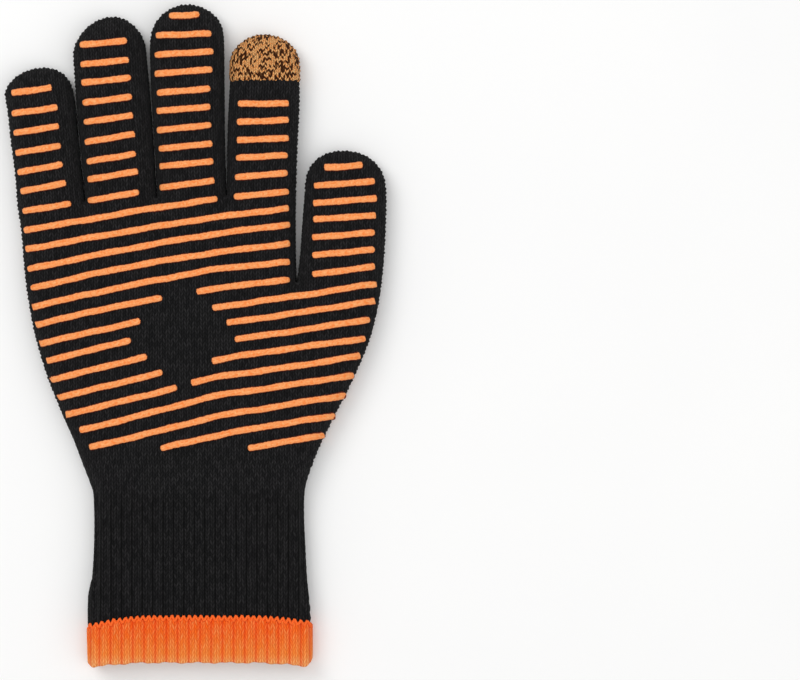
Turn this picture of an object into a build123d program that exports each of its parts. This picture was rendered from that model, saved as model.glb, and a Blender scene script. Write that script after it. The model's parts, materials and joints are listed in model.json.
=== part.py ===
from build123d import *
import os
from math import sin, cos, tan, radians, hypot, atan2, degrees

os.makedirs("parts", exist_ok=True)

# ---------------------------------------------------------------- dimensions (mm)
T = 12.0            # thickness of the knitted glove lying flat, without the grip bars
BAR_T = 0.6         # height of a silicone grip bar above the knit
BAR_W = 2.45        # width of a grip bar
Z0 = BAR_T          # underside of the knit (the back bars stand on z = 0)
Z1 = Z0 + T         # top of the knit
WALL = 1.5          # outer knit
GAP = 0.1           # between outer knit and liner
LINER = 1.3         # cotton liner
ROUND = 4.0         # rounding of the flat tube's edges
HINGE_DROP = 1.8    # fold axis below the palm side of the knit
ZH = Z1 - HINGE_DROP
CLR = 0.25          # half gap between neighbouring bodies at a fold axis

WRIST_Y = -65.4     # wrist fold
ZW = Z0 + T / 2
CUFF_END_Y = -117.6
HEM_END_Y = -138.5
CUFF_WALL = 1.5
CUFF_GAP = 0.7      # room for the inlaid elastic threads
CUFF_LINER = 1.2
HEM_EXTRA = 0.6     # the hem is knitted double and stands proud of the cuff

# finger tubes: axis x at y = 58.75, slope dx/dy, width, tip end y
FINGERS = {
    "pinky":  dict(x0=-60.4, s=-0.110, w=28.4, tip=112.1, low=42.0, h=(57.9, 73.8, 90.0)),
    "ring":   dict(x0=-31.25, s=-0.074, w=29.0, tip=133.75, low=44.0, h=(62.9, 86.3, 110.2)),
    "middle": dict(x0=-1.7, s=-0.0276, w=29.2, tip=138.5, low=44.0, h=(67.6, 90.6, 114.0)),
    "index":  dict(x0=27.4, s=0.0315, w=28.2, tip=125.4, low=44.0, h=(63.2, 85.7, 101.7)),
}
YREF = 58.75
CURL = {"pinky": (80, 80, 53), "ring": (88, 90, 60), "middle": (90, 90, 60), "index": (85, 85, 56)}
BACK = 15           # how far a finger bends backwards at its base
CAP_Y = 106.25      # where the touch-screen yarn starts on the index finger
CAP_EXTRA = 0.4

THUMB = dict(x0=60.1, yr=25.4, s=0.065, w=33.0, tip=77.5, low=-12.0)
THUMB_TIP_Y = 45.6
CROTCH = (43.1, 22.9)
FOLD_A = 35.0       # the thumb folds about a line this far off the cross direction
FOLD_M = 3.5        # fold line beyond the thumb crotch
THUMB_IN, THUMB_OUT, THUMB_TIP_MAX = 60, 10, 75
WRIST_MAX = 60

FINGER_BARS = {
    "pinky": [(-76.2, 101.0, -59.2, 103.2), (-76.2, 92.5, -56.7, 95.0), (-75.4, 84.3, -56.2, 87.3), (-74.6, 76.1, -55.4, 79.1), (-73.8, 68.0, -54.6, 71.4), (-72.5, 60.0, -53.3, 63.7), (-71.7, 51.9, -51.2, 55.0)],
    "ring": [(-47.9, 121.0, -27.9, 122.7), (-47.5, 112.8, -27.1, 114.8), (-47.1, 105.2, -26.2, 107.4), (-46.7, 96.9, -25.8, 99.5), (-46.2, 88.9, -25.4, 91.7), (-45.8, 80.5, -24.6, 84.0), (-45.0, 72.4, -24.2, 75.8), (-44.6, 65.0, -23.3, 68.5), (-44.6, 56.2, -22.9, 59.8)],
    "middle": [(-10.8, 133.0, 2.1, 133.6), (-16.2, 125.0, 7.1, 125.7), (-16.7, 116.9, 7.9, 118.3), (-16.7, 109.0, 7.5, 110.8), (-15.8, 101.0, 6.7, 102.9), (-15.8, 93.5, 6.7, 95.4), (-15.8, 85.5, 7.1, 87.8), (-15.0, 77.9, 7.5, 80.0), (-14.6, 70.5, 7.9, 72.7), (-14.6, 61.7, 8.3, 64.6)],
    "index": [(17.9, 96.5, 39.2, 96.7), (17.5, 89.0, 39.2, 89.8), (17.5, 81.4, 39.2, 82.3), (17.1, 74.0, 38.8, 75.2), (16.7, 66.0, 38.8, 67.8), (16.2, 57.8, 39.2, 60.1)],
    "thumb": [(53.8, 69.9, 70.0, 71.0), (49.6, 62.4, 75.0, 64.4), (49.2, 55.2, 75.8, 57.3), (49.2, 48.5, 75.4, 50.2), (48.8, 41.0, 75.0, 43.1), (48.8, 33.5, 75.0, 36.1), (48.8, 25.6, 75.0, 29.0)],
}
PALM_BARS = [
    [(-71.2, 43.9), (-66.4, 44.7), (-46.9, 47.8), (-30.6, 50.8), (-14.4, 53.4), (5.1, 56.3), (9.6, 57.0)],
    [(-70.4, 36.0), (-63.8, 37.1), (-37.5, 41.8), (-15.4, 45.5), (6.7, 49.0), (32.9, 52.3), (39.2, 53.1)],
    [(-69.6, 27.6), (-63.0, 29.0), (-36.7, 34.4), (-14.8, 38.5), (7.1, 42.1), (33.3, 45.6), (39.6, 46.4)],
    [(-68.3, 19.8), (-61.8, 21.2), (-35.8, 27.0), (-14.2, 31.0), (7.5, 34.4), (33.3, 37.7), (39.6, 38.5)],
    [(-66.7, 12.2), (-64.6, 12.7), (-33.3, 19.6), (-7.1, 24.8), (12.1, 28.1), (39.6, 30.7)],
    [(-64.6, 5.0), (-62.9, 5.3), (-36.7, 11.4), (-21.7, 14.2), (-2.1, 17.9), (21.7, 21.4), (39.6, 23.4)],
    [(-62.9, -2.8), (-61.2, -2.5), (-34.2, 3.5), (-20.0, 6.8), (-4.6, 9.8), (11.2, 12.1), (26.7, 14.4), (49.6, 17.6), (72.5, 21.3), (75.0, 21.7)],
    [(-60.0, -10.0), (-58.3, -9.6), (-31.7, -3.1), (-17.5, 0.4), (14.2, 5.5), (26.2, 7.2), (48.8, 10.5), (71.7, 14.1), (74.2, 14.5)],
    [(-58.3, -18.0), (-56.5, -17.5), (-29.0, -10.8), (-10.8, -6.4), (10.4, -2.5), (28.3, 0.2), (46.2, 2.7), (67.9, 6.2), (72.9, 7.0)],
    [(-55.4, -25.3), (-53.5, -24.9), (-26.0, -18.3), (-4.2, -12.9), (18.8, -8.3), (43.3, -4.8), (67.9, -1.4), (70.8, -1.0)],
    [(-52.1, -32.5), (-50.4, -32.0), (-22.9, -25.4), (-13.3, -23.0), (7.5, -17.4), (25.0, -14.9), (42.9, -12.4), (63.8, -9.0), (68.8, -8.1)],
    [(-47.9, -39.4), (-41.0, -37.7), (-13.5, -30.7), (9.4, -24.8), (32.3, -21.5), (59.8, -17.2), (66.2, -16.3)],
    [(-43.8, -46.4), (-37.5, -44.9), (-11.7, -38.7), (9.8, -33.3), (31.2, -29.8), (56.9, -25.5), (62.9, -24.4)],
    [(-14.2, -46.9), (-9.8, -45.8), (7.7, -41.7), (22.3, -38.9), (36.9, -36.4), (54.4, -33.8), (58.3, -33.1)],
    [(22.1, -46.7), (24.0, -46.3), (38.1, -44.0), (52.2, -41.4), (53.8, -41.1)],
]
BLANK = (-5.0, 0.5, 23.0)   # centre and half diagonal of the plain diamond left free of bars on the palm

# palm outline below the fingers, anticlockwise from the pinky side
PALM_LEFT = [(-74.6, 52.0), (-71.6, 28.0), (-69.9, 14.0), (-67.6, 2.0), (-62.9, -13.0),
             (-56.0, -31.0), (-48.8, -48.0), (-43.2, -64.0), (-42.6, -76.0)]
PALM_RIGHT = [(45.6, -76.0), (46.0, -66.0), (49.6, -50.0), (57.5, -34.5), (67.5, -14.5),
              (73.5, 0.5), (76.6, 12.0), (77.6, 22.5)]


# ---------------------------------------------------------------- helpers
def slab(face, z0, z1, r):
    """A flat body over a plan face, with its upper and lower edges rounded."""
    s = extrude(face, z1 - z0)
    s = Pos(0, 0, z0) * s
    if r > 0.05:
        es = [e for e in s.edges() if abs(e.center().Z - z0) < 1e-4 or abs(e.center().Z - z1) < 1e-4]
        s = fillet(es, r)
    return s


def tube(x0, yr, s, w, tip, low, off, z0=Z0, z1=Z1, extra=0.0):
    """Closed flat finger tube round its leaning axis, inset by off."""
    hw = w / 2 - off + extra
    a = degrees(atan2(s, 1.0))
    length = hypot(s * (tip - w / 2 - yr), tip - w / 2 - yr)
    down = (yr - low) / cos(radians(a))
    with BuildSketch() as sk:
        with BuildLine():
            Line((-hw, -down), (-hw, length))
            RadiusArc((-hw, length), (hw, length), hw)
            Line((hw, length), (hw, -down))
            Line((hw, -down), (-hw, -down))
        make_face()
    f = sk.sketch.faces()[0]
    if f.normal_at().Z < 0:
        f = -f
    body = slab(f, z0 + off - extra, z1 - off + extra, max(ROUND - off + extra, 0.8))
    return Pos(x0, yr, 0) * Rot(0, 0, -a) * body


def yz_prism(pts, x0, x1):
    """Prism over a polygon in the YZ plane, between two X planes."""
    w = Polyline(*[(x0, p[0], p[1]) for p in pts], close=True)
    return extrude(make_face(w.edges()), x1 - x0, dir=(1, 0, 0))


def v_lines(y, zh, amax, amin):
    """Half widths of a fold gap at the top and at the bottom."""
    ht, hb = 30.0 - zh, zh + 30.0
    return CLR + ht * tan(radians(amax / 2)), CLR + hb * tan(radians(amin / 2))


def above(y, zh, amax, amin, far=400.0):
    """Everything on the +Y side of a fold."""
    t, b = v_lines(y, zh, amax, amin)
    return [(y + CLR, zh), (y + t, 30.0), (far, 30.0), (far, -30.0), (y + b, -30.0)]


def below(y, zh, amax, amin, far=-400.0):
    t, b = v_lines(y, zh, amax, amin)
    return [(y - CLR, zh), (y - b, -30.0), (far, -30.0), (far, 30.0), (y - t, 30.0)]


def strip(pts, w=BAR_W):
    """Plan outline of one bar with blunt rounded ends."""
    n = len(pts)
    left, right = [], []
    for i, p in enumerate(pts):
        a = pts[max(i - 1, 0)]
        b = pts[min(i + 1, n - 1)]
        dx, dy = b[0] - a[0], b[1] - a[1]
        l = hypot(dx, dy)
        nx, ny = -dy / l, dx / l
        left.append((p[0] + nx * w / 2, p[1] + ny * w / 2))
        right.append((p[0] - nx * w / 2, p[1] - ny * w / 2))

    def nose(p, q):
        dx, dy = q[0] - p[0], q[1] - p[1]
        l = hypot(dx, dy)
        return dx / l, dy / l
    sx, sy = nose(pts[1], pts[0])
    ex, ey = nose(pts[-2], pts[-1])
    k = w * 0.30
    s1 = (left[0][0], left[0][1])
    out = []
    out += left
    out += [(pts[-1][0] + ex * w * 0.42 + (left[-1][0] - pts[-1][0]) * 0.5, pts[-1][1] + ey * w * 0.42 + (left[-1][1] - pts[-1][1]) * 0.5),
            (pts[-1][0] + ex * w * 0.42 + (right[-1][0] - pts[-1][0]) * 0.5, pts[-1][1] + ey * w * 0.42 + (right[-1][1] - pts[-1][1]) * 0.5)]
    out += right[::-1]
    out += [(pts[0][0] + sx * w * 0.42 + (right[0][0] - pts[0][0]) * 0.5, pts[0][1] + sy * w * 0.42 + (right[0][1] - pts[0][1]) * 0.5),
            (pts[0][0] + sx * w * 0.42 + (left[0][0] - pts[0][0]) * 0.5, pts[0][1] + sy * w * 0.42 + (left[0][1] - pts[0][1]) * 0.5)]
    return out


def bar(pts, side):
    """One printed bar on the palm side (side 1) or on the back (side -1)."""
    f = make_face(Polyline(*[(x, y, 0) for x, y in strip(pts)], close=True).edges()).faces()[0]
    z = Z1 if side > 0 else 0.0
    if f.normal_at().Z < 0:
        f = -f
    return Pos(0, 0, z) * extrude(f, BAR_T)


def solids_of(x):
    if x is None:
        return []
    if isinstance(x, Solid):
        return [x]
    if isinstance(x, (list, ShapeList)):
        r = []
        for i in x:
            r += solids_of(i)
        return r
    return list(x.solids())


def put(name, things, least=0.5):
    ss = [s for s in solids_of(things) if s.volume > least]
    shape = ss[0] if len(ss) == 1 else Compound(children=ss)
    shape.label = name
    export_step(shape, "parts/%s.step" % name)
    print(name, len(ss), round(sum(s.volume for s in ss), 1))


def trim(pts, cut=2.2):
    """Shorten a palm bar at both ends, so that it lies on the flat of the glove."""
    def along(p, q, d):
        l = hypot(q[0] - p[0], q[1] - p[1])
        return (p[0] + (q[0] - p[0]) * d / l, p[1] + (q[1] - p[1]) * d / l)
    pts = list(pts)
    d = cut
    while hypot(pts[1][0] - pts[0][0], pts[1][1] - pts[0][1]) <= d + 0.5:
        d -= hypot(pts[1][0] - pts[0][0], pts[1][1] - pts[0][1])
        pts.pop(0)
        d = max(d, 0.05)
    pts[0] = along(pts[0], pts[1], d)
    d = cut
    while hypot(pts[-1][0] - pts[-2][0], pts[-1][1] - pts[-2][1]) <= d + 0.5:
        d -= hypot(pts[-1][0] - pts[-2][0], pts[-1][1] - pts[-2][1])
        pts.pop()
        d = max(d, 0.05)
    pts[-1] = along(pts[-1], pts[-2], d)
    return pts


def split_blank(pts):
    """Parts of a bar that lie outside the plain diamond."""
    bx, by, h = BLANK
    dense = []
    for p, q in zip(pts[:-1], pts[1:]):
        n = max(int(hypot(q[0] - p[0], q[1] - p[1]) / 0.5), 1)
        dense += [(p[0] + (q[0] - p[0]) * i / n, p[1] + (q[1] - p[1]) * i / n) for i in range(n)]
    dense.append(pts[-1])
    runs, cur = [], []
    for p in dense:
        if abs(p[0] - bx) + abs(p[1] - by) > h + 0.8:
            cur.append(p)
        else:
            if cur:
                runs.append(cur)
            cur = []
    if cur:
        runs.append(cur)
    out = []
    for r in runs:
        if hypot(r[-1][0] - r[0][0], r[-1][1] - r[0][1]) < 3.0:
            continue
        k = max(int(len(r) / 14), 1)
        q = r[::k]
        if q[-1] != r[-1]:
            if hypot(q[-1][0] - r[-1][0], q[-1][1] - r[-1][1]) < 2.5 and len(q) > 2:
                q = q[:-1]
            q = q + [r[-1]]
        out.append(q)
    return out


# ---------------------------------------------------------------- fingers
def finger_tubes(f, off_out, off_in, extra=0.0):
    d = FINGERS[f]
    o = tube(d["x0"], YREF, d["s"], d["w"], d["tip"], d["low"], off_out, extra=extra)
    i = tube(d["x0"], YREF, d["s"], d["w"], d["tip"], d["low"] - 5, off_in)
    return o - i


segments = {}
for f, d in FINGERS.items():
    h1, h2, h3 = d["h"]
    c1, c2, c3 = CURL[f]
    shell = finger_tubes(f, 0.0, WALL)
    liner = finger_tubes(f, WALL + GAP, WALL + GAP + LINER)
    xr = (-120, 120)
    r_base = yz_prism(above(h1, ZH, c1, BACK), *xr) & yz_prism(below(h2, ZH, c2, 0), *xr)
    r_mid = yz_prism(above(h2, ZH, c2, 0), *xr) & yz_prism(below(h3, ZH, c3, 0), *xr)
    r_tip = yz_prism(above(h3, ZH, c3, 0), *xr)
    segments[f] = (r_base, r_mid, r_tip)
    for part, reg in (("base", r_base), ("middle", r_mid), ("tip", r_tip)):
        s = shell & reg
        if f == "index" and part == "tip":
            low = yz_prism([(0, -30), (0, 30), (CAP_Y - 0.02, 30), (CAP_Y - 0.02, -30)], *xr)
            put("index_tip_shell", s & low)
            cap = finger_tubes(f, 0.0, WALL, extra=CAP_EXTRA)
            high = yz_prism([(CAP_Y, -30), (CAP_Y, 30), (400, 30), (400, -30)], *xr)
            put("index_touch_cap", cap & high)
        else:
            put("%s_%s_shell" % (f, part), s)
        put("%s_%s_liner" % (f, part), liner & reg)

# ---------------------------------------------------------------- palm with thumb
def palm_face(off):
    """Plan of the palm with the roots of the four fingers, inset by off."""
    with BuildSketch() as sk:
        with BuildLine():
            l1 = Spline(*[(x + off, y) for x, y in PALM_LEFT])
            l2 = Line(l1 @ 1, (PALM_RIGHT[0][0] - off, PALM_RIGHT[0][1]))
            l3 = Spline(*[(x - off, y) for x, y in PALM_RIGHT])
            l4 = Line(l3 @ 1, (78.2 - off, 33.0))
            l5 = Line(l4 @ 1, (43.9 + off, 33.0))
            l6 = Line(l5 @ 1, (43.9 + off, 22.5 - off))
            l7 = Line(l6 @ 1, (42.2 - off, 22.5 - off))
            l8 = Line(l7 @ 1, (42.2 - off, 55.0 - off))
            Line(l8 @ 1, l1 @ 0)
        make_face()
        for f, d in FINGERS.items():
            hw = d["w"] / 2 - off
            k = 1 / cos(atan2(d["s"], 1.0))
            pts = []
            for y, sg in ((d["low"], -1), (d["low"], 1), (78.0, 1), (78.0, -1)):
                pts.append((d["x0"] + d["s"] * (y - YREF) + sg * hw * k, y))
            with BuildLine():
                Polyline(*pts, close=True)
            make_face()
    f = sk.sketch.faces()[0]
    return f if f.normal_at().Z > 0 else -f


def palm_mass(off):
    return slab(palm_face(off), Z0 + off, Z1 - off, 0)


glove_shell = palm_mass(0.0) - palm_mass(WALL)
glove_liner = palm_mass(WALL + GAP) - palm_mass(WALL + GAP + LINER)


def thumb_tube(off_out, off_in):
    d = THUMB
    o = tube(d["x0"], d["yr"], d["s"], d["w"], d["tip"], d["low"], off_out)
    return o - tube(d["x0"], d["yr"], d["s"], d["w"], d["tip"], d["low"] - 5, off_in)


# fold line of the thumb in plan
fa = radians(FOLD_A)
mx, my = sin(fa), cos(fa)           # across the fold, towards the thumb's tip
ax, ay = cos(fa), -sin(fa)          # along the fold
P0 = (CROTCH[0] + FOLD_M * mx, CROTCH[1] + FOLD_M * my)


def fold_prism(poly):
    """Prism along the thumb's fold line over a polygon in its (across, z) section."""
    pl = Plane(origin=(P0[0] - ax * 90, P0[1] - ay * 90, 0), x_dir=(mx, my, 0), z_dir=(ax, ay, 0))
    # in this plane local y is z_dir x x_dir
    sgn = 1 if pl.y_dir.Z > 0 else -1
    f = make_face(Polyline(*[pl.from_local_coords((m, sgn * z, 0)) for m, z in poly], close=True).edges())
    return extrude(f, 180, dir=(ax, ay, 0)) & (Pos(43.0 + 100, 60, 0) * Box(200, 400, 120))


thumb_above = [(p - 0.0, z) for p, z in above(0.0, ZH, THUMB_IN, THUMB_OUT, far=150.0)]
thumb_wide = [(CLR * -1, ZH), (-v_lines(0, ZH, THUMB_IN, THUMB_OUT)[1], -30.0), (150.0, -30.0), (150.0, 30.0),
              (-v_lines(0, ZH, THUMB_IN, THUMB_OUT)[0], 30.0)]
not_palm = fold_prism(thumb_wide)
t_region = fold_prism(thumb_above)
tip_low = yz_prism(below(THUMB_TIP_Y, ZH, THUMB_TIP_MAX, 0), -120, 120)
tip_high = yz_prism(above(THUMB_TIP_Y, ZH, THUMB_TIP_MAX, 0), -120, 120)
wrist_up = yz_prism([(WRIST_Y + CLR, ZW), (WRIST_Y + CLR + 30 * tan(radians(WRIST_MAX / 2)), ZW + 30), (400, ZW + 30), (400, ZW - 30),
                     (WRIST_Y + CLR + 30 * tan(radians(WRIST_MAX / 2)), ZW - 30)], -120, 120)
wrist_down = yz_prism([(WRIST_Y - CLR, ZW), (WRIST_Y - CLR - 30 * tan(radians(WRIST_MAX / 2)), ZW + 30), (-400, ZW + 30), (-400, ZW - 30),
                       (WRIST_Y - CLR - 30 * tan(radians(WRIST_MAX / 2)), ZW - 30)], -120, 120)

# X boundaries between neighbouring fingers near their roots
XB = [-120.0, -45.95, -16.6, 13.15, 42.75]
finger_cut = []
for k, f in enumerate(("pinky", "ring", "middle", "index")):
    d = FINGERS[f]
    t, b = v_lines(0, ZH, CURL[f][0], BACK)
    y = d["h"][0]
    pts = [(y - CLR, ZH), (y - b, -30.0), (400, -30.0), (400, 30.0), (y - t, 30.0)]
    pr = yz_prism(pts, XB[k], XB[k + 1])
    finger_cut.append(pr)


def palm_part(body):
    r = body & wrist_up
    for c in finger_cut:
        r = r - c
    return r - not_palm


def keep_big(x):
    ss = sorted(solids_of(x), key=lambda s: -s.volume)
    return ss[:1]


put("palm_shell", keep_big(palm_part(glove_shell)))
put("palm_liner", keep_big(palm_part(glove_liner)))

thumb_shell_all = thumb_tube(0.0, WALL) & t_region
thumb_liner_all = thumb_tube(WALL + GAP, WALL + GAP + LINER) & t_region
put("thumb_base_shell", keep_big(thumb_shell_all & tip_low))
put("thumb_base_liner", keep_big(thumb_liner_all & tip_low))
put("thumb_tip_shell", keep_big(thumb_shell_all & tip_high))
put("thumb_tip_liner", keep_big(thumb_liner_all & tip_high))

# ---------------------------------------------------------------- grip bars
groups = {}
for f in FINGERS:
    reg = segments[f]
    h1 = FINGERS[f]["h"]
    for (xa, ya, xb, yb) in FINGER_BARS[f]:
        yc = (ya + yb) / 2
        k = sum(1 for h in h1 if yc > h)
        for side in (1, -1):
            b = bar([(xa + 0.6, ya), (xb - 0.6, yb)], side)
            if k == 0:
                groups.setdefault("palm_grip_bars", []).append(b)
            else:
                groups.setdefault("%s_%s_grip_bars" % (f, ("base", "middle", "tip")[k - 1]), []).append(b & reg[k - 1])
for (xa, ya, xb, yb) in FINGER_BARS["thumb"]:
    yc = (ya + yb) / 2
    for side in (1, -1):
        b = bar([(xa + 0.6, ya), (xb - 0.6, yb)], side)
        if yc > THUMB_TIP_Y:
            groups.setdefault("thumb_tip_grip_bars", []).append(b & tip_high)
        else:
            groups.setdefault("thumb_base_grip_bars", []).append(b & t_region & tip_low)
for pts in PALM_BARS:
    q = trim(pts)
    for side, pieces in ((1, split_blank(q)), (-1, [q])):
        for p in pieces:
            b = bar(p, side)
            if max(x for x, y in p) > 44:
                groups.setdefault("palm_grip_bars", []).append(b - not_palm)
                groups.setdefault("thumb_base_grip_bars", []).append(b & t_region)
            else:
                groups.setdefault("palm_grip_bars", []).append(b)
for name, bs in groups.items():
    put(name, bs, least=1.5)

# ---------------------------------------------------------------- cuff
CUFF = [(-42.6, -60.0), (-42.6, -66.0), (-42.4, -72.0), (-42.4, -96.0), (-43.8, -108.0), (-45.4, -118.0), (-45.6, -125.0), (-45.4, -142.0)]
CUFF_R = [(48.3, -142.0), (48.3, -125.0), (48.2, -118.0), (47.4, -108.0), (46.0, -96.0), (45.4, -72.0), (45.6, -66.0), (45.6, -60.0)]


def cuff_mass(off, ylo, yhi):
    with BuildSketch() as sk:
        with BuildLine():
            a = Spline(*[(x + off, y) for x, y in CUFF])
            b = Line(a @ 1, (CUFF_R[0][0] - off, CUFF_R[0][1]))
            c = Spline(*[(x - off, y) for x, y in CUFF_R])
            Line(c @ 1, a @ 0)
        make_face()
    f = sk.sketch.faces()[0]
    f = f if f.normal_at().Z > 0 else -f
    s = Pos(0, 0, Z0 + off) * extrude(f, T - 2 * off)
    side = [e for e in s.edges() if (abs(e.center().Z - Z0 - off) < 1e-4 or abs(e.center().Z - Z1 + off) < 1e-4)
            and abs(e.center().X) > 30]
    s = fillet(side, max(ROUND + 1.0 - off, 1.0))
    return s & (Pos(0, (ylo + yhi) / 2, 6) * Box(300, yhi - ylo, 60))


L0 = CUFF_WALL
L1 = L0 + CUFF_GAP
L2 = L1 + CUFF_LINER
LO, HI = -140.0, -61.5


def ring_of(off_out, off_in, ylo, yhi):
    return cuff_mass(off_out, ylo, yhi) - cuff_mass(off_in, ylo - 1 if ylo > -139 else ylo, yhi + 1)


put("cuff_rib", ring_of(0.0, L0, CUFF_END_Y, HI) & wrist_down)
put("cuff_liner", ring_of(L1, L2, HEM_END_Y + 1.0, HI) & wrist_down)
put("cuff_elastic_threads", [ring_of(L0 + 0.05, L0 + 0.6, y, y + 0.6) for y in (-112.0, -104.5, -97.0, -89.5, -82.0, -74.5)])
hem = ring_of(-HEM_EXTRA, L0, HEM_END_Y, CUFF_END_Y - 0.02)
put("cuff_hem", hem)
put("hem_overlock_thread", ring_of(-0.5, -0.02, CUFF_END_Y + 0.02, CUFF_END_Y + 1.6))
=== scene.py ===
import json
import math

import bpy
import numpy as np
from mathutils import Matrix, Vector

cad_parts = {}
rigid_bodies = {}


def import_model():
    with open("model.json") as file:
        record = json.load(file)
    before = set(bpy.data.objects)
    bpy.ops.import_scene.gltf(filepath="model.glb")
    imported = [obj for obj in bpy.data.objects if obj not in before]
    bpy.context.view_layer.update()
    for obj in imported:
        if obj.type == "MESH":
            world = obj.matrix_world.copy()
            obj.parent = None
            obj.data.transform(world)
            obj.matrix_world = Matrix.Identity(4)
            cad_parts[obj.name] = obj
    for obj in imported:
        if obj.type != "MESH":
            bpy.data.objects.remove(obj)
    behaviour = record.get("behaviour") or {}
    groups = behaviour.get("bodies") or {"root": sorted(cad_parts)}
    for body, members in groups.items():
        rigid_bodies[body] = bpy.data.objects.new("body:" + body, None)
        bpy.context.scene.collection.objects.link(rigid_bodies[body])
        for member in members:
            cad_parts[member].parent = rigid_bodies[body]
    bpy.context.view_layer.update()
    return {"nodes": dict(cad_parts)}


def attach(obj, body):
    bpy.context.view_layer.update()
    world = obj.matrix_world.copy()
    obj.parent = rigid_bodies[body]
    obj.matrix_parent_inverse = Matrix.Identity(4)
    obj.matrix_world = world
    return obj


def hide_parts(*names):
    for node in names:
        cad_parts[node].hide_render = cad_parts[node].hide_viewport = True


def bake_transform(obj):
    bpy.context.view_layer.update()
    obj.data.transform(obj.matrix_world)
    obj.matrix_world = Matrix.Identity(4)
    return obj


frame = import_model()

# Everything below is worked out in millimetres in the row frame and written to the meshes in metres.
rng = np.random.default_rng(7)
NODES = set(frame["nodes"])

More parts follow.
